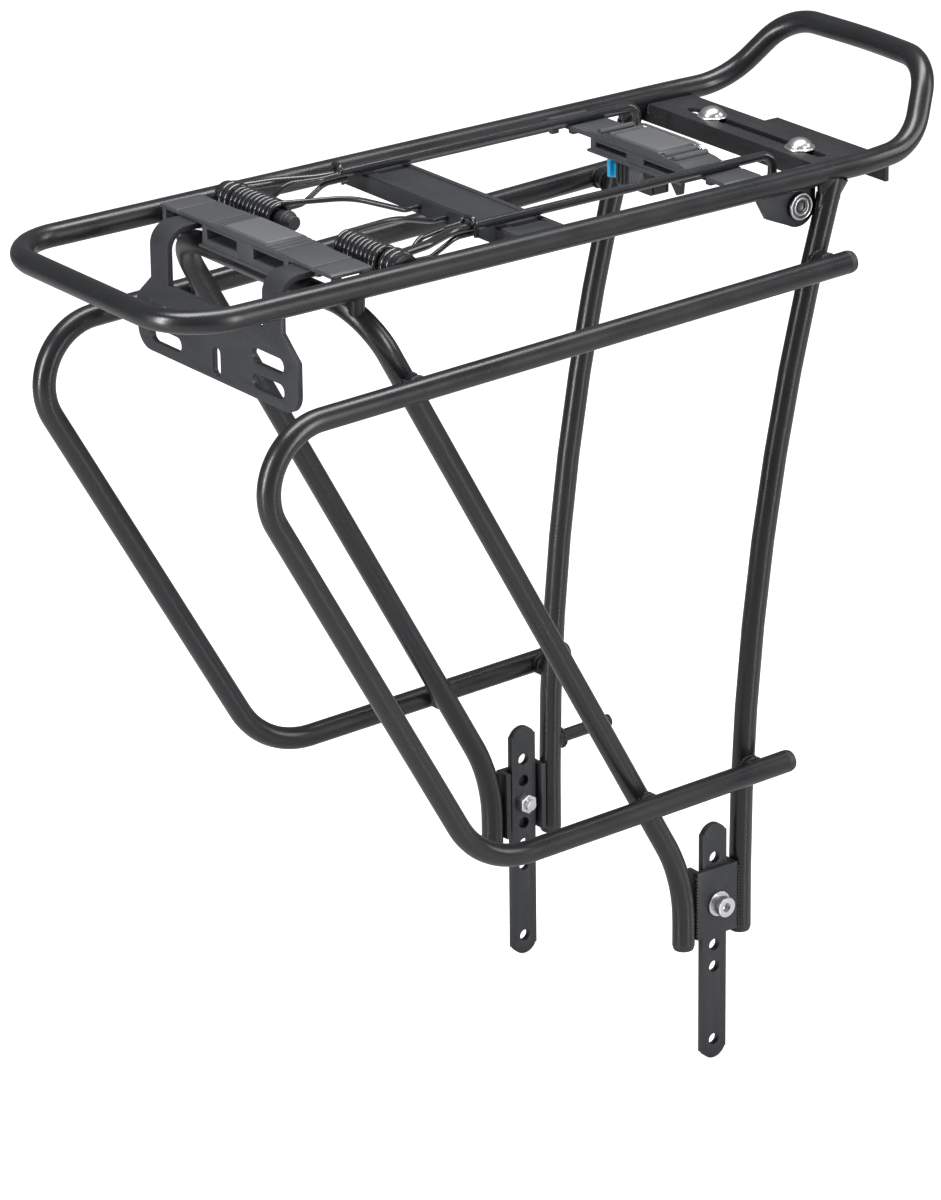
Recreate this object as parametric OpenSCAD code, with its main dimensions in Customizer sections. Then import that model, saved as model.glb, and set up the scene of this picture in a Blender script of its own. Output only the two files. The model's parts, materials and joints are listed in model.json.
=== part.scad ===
// Rear luggage carrier for a bicycle: a welded tube frame with two pannier
// loops, two clip-in adapters, a sprung clamp and adjustable feet.
// X runs across the rack, the bicycle's front lies towards -Y, Z is up.
// Inside the modules Y = 0 is the front bar's axis and Z = 0 the axis of the
// side rails; place() moves everything to the origin under the middle.

/* [Tubes] */
// Outer diameter of the frame tubes
tube_d = 10; // [9:0.5:11]
// Centre distance of the two platform rails
rail_spacing = 134; // [124:1:150]
// Bend radius of the front corners and of the loops' upper bend
corner_r = 27; // [24:1:30]

/* [Platform] */
// Rail axis height above the lower ends of the feet
deck_height = 397; // [380:1:440]
// Front bar axis to the rear handle's axis
deck_length = 410; // [405:1:440]
// Rise of the handle bar above the rails
handle_rise = 29.5; // [24:0.5:34]
// Half width of the handle at its corners
handle_half_w = 46; // [42:1:50]

/* [Legs] */
// Distance of the legs' axes from the middle
leg_x = 69.5; // [69:0.5:72]
// Front hoop's cross tube behind the front bar
hoop_y = 88; // [86:1:92]
// Axis of the front feet behind the front bar
front_foot_y = 252; // [248:1:254]
// Axis of the rear feet behind the front bar
rear_foot_y = 284.5; // [284:0.5:290]
// Top of the rear legs on the rails
rear_leg_top_y = 334; // [330:1:336]
// Lower ends of the four legs below the rail axis
leg_end_z = 336; // [334:1:340]

/* [Pannier loops] */
// Upper run of a pannier loop from the middle
loop_x = 82.5; // [82:0.5:86]
// Lower run of a pannier loop from the middle
loop_low_x = 80.2; // [80:0.2:83]
// Upper run below the rail axis, at its rear end
loop_top_z = 36; // [32:1:40]
// Lower run below the rail axis, at its rear end
loop_low_z = 259.5; // [250:0.5:270]
// Rear end of the upper run
loop_top_end_y = 329; // [328:1:334]
// Rear end of the lower run
loop_low_end_y = 299.5; // [297:0.5:304]

/* [Feet] */
// Width of a foot strap
strap_w = 13.4; // [12:0.2:14]
// Thickness of a foot strap
strap_t = 3; // [2.5:0.5:3.5]
// Length of a foot strap
strap_len = 113; // [110:1:116]
// Distance between the adjustment holes
hole_pitch = 10.5; // [10:0.5:11]
// Diameter of the strap holes
strap_hole_d = 5.5; // [5.2:0.1:6]
// Diameter of the M5 screws
screw_d = 5; // [5:0.1:5.1]

/* [Front plate] */
// Thickness of the front plate
plate_t = 2.5; // [2:0.5:3]
// Front plate's middle behind the front bar
front_plate_y = 63; // [61:1:64]
// Width of the long slots in the front plate
plate_slot_w = 6.5; // [5.5:0.5:7]

/* [Adapters] */
// Depth of each adapter along the rack
adapter_depth = 20; // [18:1:21]
// Front edge of the front adapter
front_adapter_y = 77; // [76:1:78]
// Front edge of the rear adapter
rear_adapter_y = 280; // [278:1:284]
// Half width of an adapter's raised middle
adapter_mid_x = 16; // [14:1:18]

/* [Cross plates] */
// Front edge of the middle cross plate
centre_plate_y = 171; // [168:1:176]
// Depth of the middle cross plate
centre_plate_w = 25; // [22:1:28]
// Front edge of the rear cross plate
rear_plate_y = 337; // [335:1:338]
// Depth of the rear cross plate
rear_plate_w = 24; // [22:1:24]
// Half distance of the two dome screws
dome_x = 30; // [25:1:32]

/* [Spring clamp] */
// Wire diameter of the clamp bail
bail_d = 4; // [3.5:0.5:4]
// Half width of the bail
bail_x = 46.5; // [45:0.5:48]
// Rear bar of the bail behind the front bar
bail_rear_y = 318; // [316:1:320]
// Pivot axis of the clamp behind the front bar
pivot_y = 112; // [110:1:114]
// Height of the clamp pivot above the rail axis
pivot_z = 1; // [0:0.5:2]
// Diameter of the pivot rods
pivot_d = 7.4; // [7:0.1:7.6]
// Wire diameter of the springs
spring_d = 2.6; // [2.2:0.1:2.6]
// Turns of each spring
spring_turns = 10; // [8:1:11]

/* [Hidden] */
$fn = 48;
tube_r = tube_d / 2;
bite = 0.2;
swell = 0.04;
rail_x = rail_spacing / 2;
overall_mid_y = deck_length / 2 - 0.49;
// Handle corners: where the rail leaves its line, kicks up and turns inwards
kick_r = 120;
kick_in = [rail_x, deck_length - 58, 0];
kick_up = [rail_x - 3.6, deck_length - 27.8, 1];
handle_corner = [handle_half_w, deck_length - 5.2, handle_rise + 1];
handle_mid = [0, deck_length, handle_rise];
// Front hoop: the cross tube lies under the rails
hoop_z = -(tube_d + 1);
hoop_bend_r = 22;
hoop_knee_z = -305.5;
hoop_knee_r = 80;
// Rear legs: one long bend to vertical
rear_knee_z = -157;
rear_knee_r = 1000;
// Loops: slopes of the runs and their corners
loop_top_front = [loop_x, 11, -loop_top_z - 10.5];
loop_low_front = [loop_low_x, 135, -loop_low_z - 4.5];
loop_low_r = 42;
// Feet
strap_x = 69;
strap_y = (front_foot_y + rear_foot_y) / 2 + 0.35;
strap_top_z = -deck_height + strap_len;
first_hole = 16;
last_hole = 9;
screw_z = strap_top_z - first_hole - 2 * hole_pitch;
bracket_t = 2.5;
bracket_h = 32;
bracket_inner_y = rear_foot_y - front_foot_y - tube_d - 2 * bracket_t;
web_x = strap_x + strap_t / 2;
washer_t = 1.2;
head_h = 5;
head_d = 9;
nut_t = 4;
hex_af = 8;
// Adapters
adapter_top_z = 7;
wing_t = 2;
box_x = 31;
box_bottom_z = hoop_z + tube_r;
rear_box_z = -4.5;
rail_gap = 0.2;
// Cross plates
sheet_t = 2;
centre_top_z = 2;
rear_top_z = -1.3;
flange_h = 8.5;
slot_half = 46;
slot_w = 5.5;
slot_y = rear_plate_y + 10;
// Spring clamp
bail_z = 5.8;
bail_drop = -8;
eye_x = rail_x - tube_r - 4.4;
coil_r = 6;
coil_pitch = 2.9;
coil_len = spring_turns * coil_pitch;

module place() translate([0, -overall_mid_y, deck_height]) children();

function unit(v) = v / norm(v);
function reach(u, w, r) = r * tan(acos(max(-1, min(1, u * w))) / 2);

module oriented(o, x, y, z)
    multmatrix([[x[0], y[0], z[0], o[0]], [x[1], y[1], z[1], o[1]],
                [x[2], y[2], z[2], o[2]], [0, 0, 0, 1]]) children();

// Round bar from a to b
module bar(a, b, d) {
    z = unit(b - a);
    x = unit(cross(abs(z[2]) > 0.9 ? [0, 1, 0] : [0, 0, 1], z));
    oriented(a, x, cross(z, x), z) cylinder(h = norm(b - a), d = d);
}

// Bend of radius r at corner p, coming in along u and leaving along w
module bend(p, u, w, r, d) {
    inside = unit(w - (w * u) * u);
    centre = p - u * reach(u, w, r) + inside * r;
    oriented(centre, -inside, u, cross(-inside, u))
        rotate_extrude(angle = acos(u * w)) translate([r, 0]) circle(d = d);
}

// Bent tube through the points, with a bend radius for each inner point.
// The straights end a hair inside the bends, which are thicker by a hair.
module bent(pts, rs, d) {
    last = len(pts) - 1;
    for (i = [0 : last - 1]) {
        u = unit(pts[i + 1] - pts[i]);
        back = i == 0 ? 0 : reach(unit(pts[i] - pts[i - 1]), u, rs[i - 1]) - bite;
        front = i == last - 1 ? 0 : reach(u, unit(pts[i + 2] - pts[i + 1]), rs[i]) - bite;
        if (norm(pts[i + 1] - pts[i]) - back - front > 2 * bite)
            bar(pts[i] + u * back, pts[i + 1] - u * front, d);
        if (i < last - 1) bend(pts[i + 1], u, unit(pts[i + 2] - pts[i + 1]), rs[i], d + swell);
    }
}

function flip(pts) = [for (p = pts) [-p[0], p[1], p[2]]];
function backwards(v) = [for (i = [len(v) - 1 : -1 : 0]) v[i]];

module both() {
    children();
    mirror([1, 0, 0]) children();
}

// Both side rails with their kick inwards, as a cutter for what is fitted to them
module rails_cut(extra) {
    in_dir = unit(kick_up - kick_in);
    both() {
        bar([rail_x, 30, 0], [rail_x, kick_in[1] - 5, 0], tube_d + 2 * extra);
        bend(kick_in, [0, 1, 0], in_dir, kick_r, tube_d + swell + 2 * extra);
        bar(kick_in + in_dir * (reach([0, 1, 0], in_dir, kick_r) - 1), kick_up, tube_d + 2 * extra);
    }
}

module platform_frame() color("#26272a") place() {
    side = [[rail_x, 0, 0], kick_in, kick_up, handle_corner];
    bends = [corner_r, kick_r, 32, 26];
    bent(concat([[0, 0, 0]], side, [handle_mid], flip(backwards(side)), [[0, 0, 0]]),
         concat(bends, [150], backwards(bends)), tube_d);
}

module front_leg_hoop() color("#26272a") place() {
    leg = [[leg_x, front_foot_y, -leg_end_z], [leg_x, front_foot_y, hoop_knee_z],
           [leg_x, hoop_y, hoop_z]];
    bent(concat(leg, flip(backwards(leg))),
         [hoop_knee_r, hoop_bend_r, hoop_bend_r, hoop_knee_r], tube_d);
}

rear_leg_x = leg_x - 1;
rear_knee = [rear_leg_x, rear_foot_y, rear_knee_z];
rear_top = [rear_leg_x, rear_leg_top_y, 0];
rear_arc_z = rear_knee_z - reach(unit(rear_knee - rear_top), [0, 0, -1], rear_knee_r);
function rear_leg_y(z) = rear_foot_y + rear_knee_r - sqrt(pow(rear_knee_r, 2) - pow(z - rear_arc_z, 2));
module rear_leg_near(z) bar([rear_leg_x, rear_leg_y(z - 7), z - 7], [rear_leg_x, rear_leg_y(z + 7), z + 7], tube_d + swell);
module rear_leg() color("#26272a") place() difference() {
    bent([rear_top, rear_knee, [rear_leg_x, rear_foot_y, -leg_end_z]], [rear_knee_r], tube_d);
    rails_cut(0);
}
module rear_leg_left() rear_leg();
module rear_leg_right() mirror([1, 0, 0]) rear_leg();

function loop_points() = [[loop_x, loop_top_end_y, -loop_top_z], loop_top_front,
                          loop_low_front, [loop_low_x, loop_low_end_y, -loop_low_z]];
module pannier_loop() color("#26272a") place() bent(loop_points(), [corner_r, loop_low_r], tube_d);
module pannier_loop_left() pannier_loop();
module pannier_loop_right() mirror([1, 0, 0]) pannier_loop();

// Points where the loops cross the legs
front_leg_dir = [hoop_y - front_foot_y, hoop_z - hoop_knee_z];
function front_leg_y(z) = hoop_y + front_leg_dir[0] / front_leg_dir[1] * (z - hoop_z);
function loop_top_zat(y) = -loop_top_z - 10.5 * (loop_top_end_y - y) / (loop_top_end_y - 11);
function loop_low_zat(y) = -loop_low_z - 4.5 * (loop_low_end_y - y) / (loop_low_end_y - 135);
cross_top_front = [front_leg_y(-43.5), -43.5];
cross_low_front = [front_leg_y(-261.5), -261.5];
cross_top_rear = [rear_leg_y(-37), loop_top_zat(rear_leg_y(-37))];
cross_low_rear = [rear_leg_y(-260), loop_low_zat(rear_leg_y(-260))];

// Weld stubs between the loops and the legs
module loop_saddles() color("#26272a") place() difference() {
    for (c = [cross_top_front, cross_low_front, cross_top_rear, cross_low_rear])
        bar([rear_leg_x, c[0], c[1]], [c[1] > -100 ? loop_x : loop_low_x, c[0], c[1]], 9);
    bar(loop_points()[0], loop_points()[1], tube_d);
    bar(loop_points()[2], loop_points()[3], tube_d);
    bar([leg_x, front_foot_y, hoop_knee_z], [leg_x, hoop_y, hoop_z], tube_d);
    rear_leg_near(cross_top_rear[1]);
    rear_leg_near(cross_low_rear[1]);
}
module loop_saddles_left() loop_saddles();
module loop_saddles_right() mirror([1, 0, 0]) loop_saddles();

// Short posts that carry the rails on the hoop's shoulders
module hoop_saddles() color("#26272a") place() both() difference() {
    bar([rail_x - 6, hoop_y + 1, hoop_z - 3], [rail_x - 2, hoop_y - 1, 0], 7);
    bent([[0, hoop_y, hoop_z], [leg_x, hoop_y, hoop_z], [leg_x, front_foot_y, hoop_knee_z]],
         [hoop_bend_r], tube_d);
    rails_cut(0);
}

// Domed plugs that close the open tube ends
module plug() rotate_extrude() {
    square([tube_r, 1]);
    translate([0, 1]) intersection() {
        scale([1, 1]) circle(r = tube_r);
        translate([0, 0]) square([tube_r, 2.4]);
    }
}
module tube_plugs() color("#1b1c1e") place() both() {
    translate([loop_x, loop_top_end_y, -loop_top_z]) rotate([-88, 0, 0]) plug();
    translate([loop_low_x, loop_low_end_y, -loop_low_z]) rotate([-88.4, 0, 0]) plug();
    translate([leg_x, front_foot_y, -leg_end_z]) rotate([180, 0, 0]) plug();
    translate([rear_leg_x, rear_foot_y, -leg_end_z]) rotate([180, 0, 0]) plug();
}

// Folded channel between the feet of one side
module strap_bracket() color("#26272a") place() {
    outer_y = bracket_inner_y + 2 * bracket_t;
    difference() {
        translate([leg_x - 4.5, strap_y - 0.35 - outer_y / 2, -leg_end_z])
            cube([web_x + bracket_t - leg_x + 4.5, outer_y, bracket_h]);
        translate([leg_x - 5, strap_y - 0.35 - bracket_inner_y / 2, -leg_end_z - 1])
            cube([web_x - leg_x + 5, bracket_inner_y, bracket_h + 2]);
        translate([web_x - 1, strap_y, screw_z]) rotate([0, 90, 0])
            cylinder(h = bracket_t + 2, d = strap_hole_d);
    }
}
module strap_bracket_left() strap_bracket();
module strap_bracket_right() mirror([1, 0, 0]) strap_bracket();

module strap_blank() rotate([0, -90, 0]) linear_extrude(strap_t) hull2d_ends();
module hull2d_ends() {
    end_r = strap_w / 2;
    translate([end_r * 0.6, -end_r]) square([strap_len - end_r * 1.2, strap_w]);
    for (x = [end_r, strap_len - end_r])
        intersection() {
            translate([x, 0]) circle(r = end_r);
            translate([0, -end_r]) square([strap_len, strap_w]);
        }
}

module foot_strap() color("#1d1e20") place() difference() {
    translate([strap_x + strap_t / 2, strap_y, -deck_height]) strap_blank();
    for (i = [0 : 5])
        translate([strap_x - strap_t, strap_y, strap_top_z - first_hole - i * hole_pitch])
            rotate([0, 90, 0]) cylinder(h = 2 * strap_t, d = strap_hole_d);
    translate([strap_x - strap_t, strap_y, -deck_height + last_hole])
        rotate([0, 90, 0]) cylinder(h = 2 * strap_t, d = strap_hole_d);
}
module foot_strap_left() foot_strap();
module foot_strap_right() mirror([1, 0, 0]) foot_strap();

head_x = web_x + bracket_t + washer_t;
module at_screw() place() both() translate([0, strap_y, screw_z]) rotate([0, 90, 0]) children();

module foot_screws() color("#c4c6c8") at_screw() difference() {
    union() {
        translate([0, 0, strap_x - strap_t / 2 - nut_t - 2]) cylinder(h = head_x - strap_x + strap_t / 2 + nut_t + 2, d = screw_d);
        translate([0, 0, head_x]) cylinder(h = head_h, d = head_d);
    }
    translate([0, 0, head_x + 2]) cylinder(h = head_h, d = 4.6, $fn = 6);
}
module foot_washers() color("#b9bbbe") at_screw() translate([0, 0, head_x - washer_t]) difference() {
    cylinder(h = washer_t, d = 11.5);
    translate([0, 0, -1]) cylinder(h = washer_t + 2, d = screw_d + 0.3);
}
module foot_nuts() color("#b9bbbe") at_screw()
    translate([0, 0, strap_x - strap_t / 2 - nut_t]) difference() {
        cylinder(h = nut_t, d = hex_af / cos(30), $fn = 6);
        translate([0, 0, -1]) cylinder(h = nut_t + 2, d = screw_d + 0.04);
    }

// Peg behind the right rear leg that catches a strap
peg_z = -295;
module strap_peg() color("#26272a") place() mirror([1, 0, 0]) difference() {
    union() {
        bar([leg_x - 1, rear_foot_y, peg_z], [leg_x - 1, rear_foot_y + 34, peg_z + 1], 6);
        bar([leg_x - 1, rear_foot_y, peg_z], [leg_x - 1, rear_foot_y + 7, peg_z], 9);
    }
    rear_leg_near(peg_z);
}

// Front plate: two lobes joined by a bridge, hung on two curled ears
ear_in = 34;
ear_out = 47;
ear_top_z = 3.5;
ear_bend_r = 7;
ear_len = 90 - front_plate_y;
lobe_x = 58;
plate_low_z = -52.7;
module slot(x0, x1, z, w) {
    translate([x0, z - w / 2]) square([x1 - x0, w]);
    for (x = [x0, x1]) translate([x, z]) circle(d = w);
}
module plate_outline() difference() {
    union() {
        polygon([[ear_in, -21], [ear_in, ear_top_z - ear_bend_r - plate_t], [ear_out, ear_top_z - ear_bend_r - plate_t],
                 [ear_out, -20], [lobe_x, -30], [lobe_x, plate_low_z + 9],
                 [lobe_x - 9, plate_low_z], [-lobe_x + 9, plate_low_z], [-lobe_x, plate_low_z + 9],
                 [-lobe_x, -30], [-ear_out, -20], [-ear_out, ear_top_z - ear_bend_r - plate_t],
                 [-ear_in, ear_top_z - ear_bend_r - plate_t], [-ear_in, -21]]);
        for (s = [-1, 1]) translate([s * (lobe_x - 9), plate_low_z + 9]) circle(r = 9);
    }
    slot(29, 45, -34, plate_slot_w);
    slot(29, 45, -45, plate_slot_w);
    slot(-45, -29, -34, plate_slot_w);
    slot(-45, -29, -45, plate_slot_w);
    rotate(90) slot(-48, -41, 0, 5.5);
    translate([-ear_in + 10, -21 + 2]) square([2 * ear_in - 20, 30]);
    for (s = [-1, 1]) translate([s * (ear_in - 10), -9]) circle(r = 10);
    translate([-ear_in, -9]) square([2 * ear_in, 20]);
}
module front_plate() color("#303236") place() {
    translate([0, front_plate_y + plate_t / 2, 0]) rotate([90, 0, 0]) linear_extrude(plate_t) plate_outline();
    both() {
        translate([ear_in, front_plate_y + plate_t / 2 + ear_bend_r, ear_top_z - plate_t - ear_bend_r])
            rotate([0, 90, 0]) rotate([0, 0, 180]) rotate_extrude(angle = 90)
                translate([ear_bend_r, 0]) square([plate_t, ear_out - ear_in]);
        difference() {
            translate([ear_in, front_plate_y + plate_t / 2 + ear_bend_r, ear_top_z - plate_t])
                cube([ear_out - ear_in, ear_len - ear_bend_r - plate_t / 2, plate_t]);
            translate([(ear_in + ear_out) / 2, 84, ear_top_z - 5]) cylinder(h = 10, d = 4.3);
        }
    }
}
module front_plate_screws() color("#6d7074") place() both()
    translate([(ear_in + ear_out) / 2, 84, ear_top_z - plate_t]) {
        translate([0, 0, -2.2]) cylinder(h = 2.2, d = 7);
        cylinder(h = plate_t + 1.6, d = 4);
    }

// Plastic adapter between the rails: a box with front windows, a raised
// middle with stepped shoulders, and two wings that reach the rails
module adapter(wing_z, bottom_z, holes) {
    depth = adapter_depth;
    difference() {
        union() {
            translate([-rail_x + 1, 0, wing_z - wing_t]) cube([2 * rail_x - 2, depth, wing_t]);
            translate([-box_x, 0, bottom_z]) cube([2 * box_x, depth, wing_z - bottom_z]);
            for (s = [0 : 2])
                translate([-adapter_mid_x - 3 + s * 1.5, s * 0.4, wing_z])
                    cube([2 * adapter_mid_x + 6 - s * 3, depth - s * 0.8, (adapter_top_z - 1 - wing_z) * (s + 1) / 3]);
            for (x = [-rail_x + tube_r, rail_x - tube_r - 3], y = [1, depth - 5])
                translate([x, y, -4]) cube([3, 4, 4 + wing_z - wing_t]);
        }
        for (x = [-28.5, 5.5]) translate([x, -1, bottom_z + 1.2]) cube([23, 9, wing_z - bottom_z - 3.2]);
        translate([-adapter_mid_x + 2, 2, adapter_top_z - 3]) cube([2 * adapter_mid_x - 4, depth - 4, 3]);
        if (holes)
            for (x = [-1, 1]) translate([x * (ear_in + ear_out) / 2, 84 - front_adapter_y, wing_z - 3])
                cylinder(h = 2.8, d = 4.04);
    }
}
module front_adapter() color("#3a3c40") place() difference() {
    translate([0, front_adapter_y, 0]) adapter(5.6, box_bottom_z, true);
    rails_cut(rail_gap);
    bar([-60, hoop_y, hoop_z], [60, hoop_y, hoop_z], tube_d + 0.02);
}
module rear_adapter() color("#3a3c40") place() difference() {
    translate([0, rear_adapter_y, 0]) adapter(3.6, rear_box_z, false);
    rails_cut(rail_gap);
}
module adapter_cap() {
    translate([-adapter_mid_x + 2, 2, adapter_top_z - 2]) cube([2 * adapter_mid_x - 4, adapter_depth - 4, 2]);
    translate([-adapter_mid_x + 1, 1.2, adapter_top_z]) cube([2 * adapter_mid_x - 2, adapter_depth - 2.4, 0.6]);
}
module front_adapter_cap() color("#6f7276") place() translate([0, front_adapter_y, -1]) adapter_cap();
module rear_adapter_cap() color("#8b8e92") place() translate([0, rear_adapter_y, -1]) adapter_cap();

// Latch under the rear adapter with its blue release button
latch_x0 = -14;
latch_x1 = 10;
latch_y = rear_adapter_y + 1;
latch_z = -15;
button_len = 14;
button_gap = 0.15;
module latch_housing() color("#2b2d31") place() difference() {
    translate([latch_x0, latch_y, latch_z]) cube([latch_x1 - latch_x0, 10, rear_box_z - latch_z]);
    translate([latch_x0 - 1, latch_y + 2, latch_z + 1]) cube([20, 6, 7]);
}
module release_button() color("#159fd0") place() {
    translate([latch_x0 - 7, latch_y, latch_z + 1.2]) cube([2.5, 10, 8.7]);
    translate([latch_x0 - 5, latch_y + 2 + button_gap, latch_z + 1 + button_gap])
        cube([button_len - 2, 6 - 2 * button_gap, 7 - 2 * button_gap]);
}
// Middle cross plate: a shallow channel set between the rails
module centre_plate() color("#303236") place() difference() {
    union() {
        translate([-rail_x, centre_plate_y, centre_top_z - sheet_t]) cube([2 * rail_x, centre_plate_w, sheet_t]);
        for (y = [centre_plate_y, centre_plate_y + centre_plate_w - sheet_t])
            translate([-rail_x, y, centre_top_z - 7]) cube([2 * rail_x, sheet_t, 7]);
    }
    rails_cut(0);
}

// Rear cross plate with its long slot for the light bracket
module rear_plate() color("#303236") place() difference() {
    union() {
        translate([-rail_x, rear_plate_y, rear_top_z - sheet_t]) cube([2 * rail_x, rear_plate_w, sheet_t]);
        translate([-rail_x, rear_plate_y, rear_top_z - flange_h]) cube([2 * rail_x, sheet_t, flange_h]);
    }
    translate([0, slot_y, rear_top_z - 5]) linear_extrude(10) slot(-slot_half + slot_w / 2, slot_half - slot_w / 2, 0, slot_w);
    rails_cut(0);
}
dome_h = 3.4;
module dome_screws() color("#d2d4d6") place() both() translate([dome_x, slot_y, 0]) difference() {
    union() {
        translate([0, 0, rear_top_z - 2 * sheet_t - 5.5]) cylinder(h = 5.5 + 2 * sheet_t, d = screw_d);
        translate([0, 0, rear_top_z]) cylinder(h = 0.8, d = 11);
        intersection() {
            translate([0, 0, rear_top_z + 0.8 + dome_h - 6]) sphere(r = 6);
            translate([0, 0, rear_top_z + 0.8]) cylinder(h = dome_h, d = 9.5);
        }
    }
    translate([0, 0, rear_top_z + 2.6]) cylinder(h = 4, d = 3.2, $fn = 6);
}
module dome_nuts() color("#b9bbbe") place() both()
    translate([dome_x, slot_y, rear_top_z - 2 * sheet_t - nut_t]) difference() {
        cylinder(h = nut_t, d = hex_af / cos(30), $fn = 6);
        translate([0, 0, -1]) cylinder(h = nut_t + 2, d = screw_d + 0.04);
    }
// Stepped bracket under the rear plate that carries a rear light
light_x = 38;
light_y = slot_y + 44;
light_hole_x = 25;
light_hole_d = 5.5;
module light_bracket() color("#2b2d31") place() difference() {
    union() {
        translate([-light_x, slot_y - 7, rear_top_z - 2 * sheet_t]) cube([2 * light_x, 25, sheet_t]);
        translate([-light_x, slot_y + 16, -14]) cube([2 * light_x, sheet_t, 14 + rear_top_z - sheet_t]);
        translate([-light_x, slot_y + 16, -14]) cube([2 * light_x, light_y - slot_y - 16, sheet_t]);
        translate([-light_x, light_y - sheet_t, -23]) cube([2 * light_x, sheet_t, 11]);
        translate([light_x - 6, slot_y + 16, -21]) cube([6, sheet_t, 8]);
    }
    for (s = [-1, 1]) {
        translate([s * dome_x, slot_y, -12]) cylinder(h = 20, d = screw_d + 0.4);
        translate([s * light_hole_x, light_y + 1, -18.2]) rotate([90, 0, 0])
            cylinder(h = 5, d = light_hole_d);
    }
}

// Round-ended tab under the left rail, with its screw
tab_x = rail_x - 5.5;
tab_y = 318;
tab_z = -13;
tab_r = 9.5;
module side_tab() color("#303236") place() difference() {
    translate([tab_x, 0, 0]) rotate([90, 0, 90]) {
        translate([tab_y, tab_z, 0]) cylinder(h = 2.5, r = tab_r);
        linear_extrude(2.5)
            polygon([[tab_y - 22, -3.6], [tab_y + tab_r - 0.1, -3.6], [tab_y + tab_r - 0.1, tab_z],
                     [tab_y - 4, tab_z - 8.5], [tab_y - 17, -16], [tab_y - 22, -7]]);
    }
    translate([tab_x - 1, tab_y, tab_z]) rotate([0, 90, 0]) cylinder(h = 5, d = 6.04);
    rails_cut(0);
    rear_leg_near(tab_z);
}
module side_tab_screw() color("#a9abae") place() translate([tab_x, tab_y, tab_z]) rotate([0, 90, 0]) difference() {
    union() {
        translate([0, 0, -3]) cylinder(h = 6, d = 6);
        translate([0, 0, 2.5]) cylinder(h = 2, d = 12);
        translate([0, 0, -4]) cylinder(h = 4, d = 9);
    }
    translate([0, 0, 3.4]) cylinder(h = 4, d = 5, $fn = 6);
}

// Spring clamp: pivot rods in lugs on the rails, the bail and its springs
rod_end_left = 22;
rod_end_right = 20;
rod_x = rail_x - tube_r;
lug_t = 2;
module pivot_lugs() color("#26272a") place() both() difference() {
    translate([rod_x - lug_t, 0, 0]) rotate([90, 0, 90]) linear_extrude(lug_t + 2) {
        translate([pivot_y, pivot_z]) circle(r = 6.5);
        translate([pivot_y - 6.5, -4]) square([13, 5]);
    }
    rails_cut(0);
    translate([0, pivot_y, pivot_z]) rotate([0, 90, 0]) cylinder(h = 80, d = pivot_d + 0.02);
}
module pivot_rod(x_in) color("#2b2d31") place()
    translate([x_in, pivot_y, pivot_z]) rotate([0, 90, 0]) cylinder(h = rod_x - 0.3 - x_in, d = pivot_d);
module pivot_rod_left() pivot_rod(rod_end_left);
module pivot_rod_right() mirror([1, 0, 0]) pivot_rod(rod_end_right);
module rod_caps() color("#3a3c40") place() mirror([1, 0, 0])
    translate([rod_end_right, pivot_y, pivot_z]) rotate([0, -90, 0]) {
        cylinder(h = 2, d = 9);
        cylinder(h = 6, d = 6.5);
    }

module clamp_bail() color("#191a1c") place() difference() {
    side = [[eye_x, pivot_y + 3, bail_z], [bail_x + 8, pivot_y + 18, bail_z],
            [bail_x, pivot_y + 36, bail_z], [bail_x, bail_rear_y, bail_z],
            [bail_x, bail_rear_y, bail_drop]];
    union() {
        bent(concat(side, flip(backwards(side))), [20, 26, 6, 6, 6, 6, 26, 20], bail_d);
        both() translate([eye_x - 2, pivot_y, pivot_z]) rotate([0, 90, 0]) cylinder(h = 4, r = pivot_d / 2 + 2.3);
    }
    both() translate([eye_x - 5, pivot_y, pivot_z]) rotate([0, 90, 0]) cylinder(h = 10, d = pivot_d + 0.06);
}

// Swept round wire along a list of points, with frames carried along it
function tangents(p) = [for (i = [0 : len(p) - 1])
    unit(p[min(i + 1, len(p) - 1)] - p[max(i - 1, 0)])];
function carried(t, n, i = 0, acc = []) = i == len(t) ? acc :
    let (m = unit(n - (n * t[i]) * t[i])) carried(t, m, i + 1, concat(acc, [m]));
module wire(p, d, sides = 6) {
    t = tangents(p);
    n = carried(t, abs(t[0][0]) > 0.9 ? [0, 0, 1] : [1, 0, 0]);
    rings = len(p);
    pts = [for (i = [0 : rings - 1]) for (k = [0 : sides - 1])
        p[i] + d / 2 * (cos(360 * k / sides) * n[i] + sin(360 * k / sides) * cross(t[i], n[i]))];
    skin = [for (i = [0 : rings - 2]) for (k = [0 : sides - 1])
        [i * sides + k, i * sides + (k + 1) % sides,
         (i + 1) * sides + (k + 1) % sides, (i + 1) * sides + k]];
    ends = [[for (k = [sides - 1 : -1 : 0]) k],
            [for (k = [0 : sides - 1]) (rings - 1) * sides + k]];
    polyhedron(points = pts, faces = concat(skin, ends), convexity = 6);
}

// Small coil behind the release button
module button_spring() color("#b9bbbe") place()
    wire([for (a = [0 : 30 : 1440]) [latch_x0 + 7.9 + a * 0.0066,
        latch_y + 5 + 2.2 * sin(a), latch_z + 4.5 + 2.2 * cos(a)]], 0.8);

// Spring: turns round the rod, from the fixed leg on top to the arm below
function coil_points(x0) = [for (a = [0 : 30 : 360 * spring_turns - 180])
    [x0 + coil_pitch * a / 360, pivot_y - coil_r * sin(a), pivot_z + coil_r * cos(a)]];
coil_x_left = 23.5;
coil_x_right = 24.8;
coil_travel = coil_pitch * (spring_turns - 0.5);
module spring_left() color("#202124") place() wire(coil_points(coil_x_left), spring_d);
module spring_right() color("#202124") place() mirror([1, 0, 0]) wire(coil_points(coil_x_right), spring_d);

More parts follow.
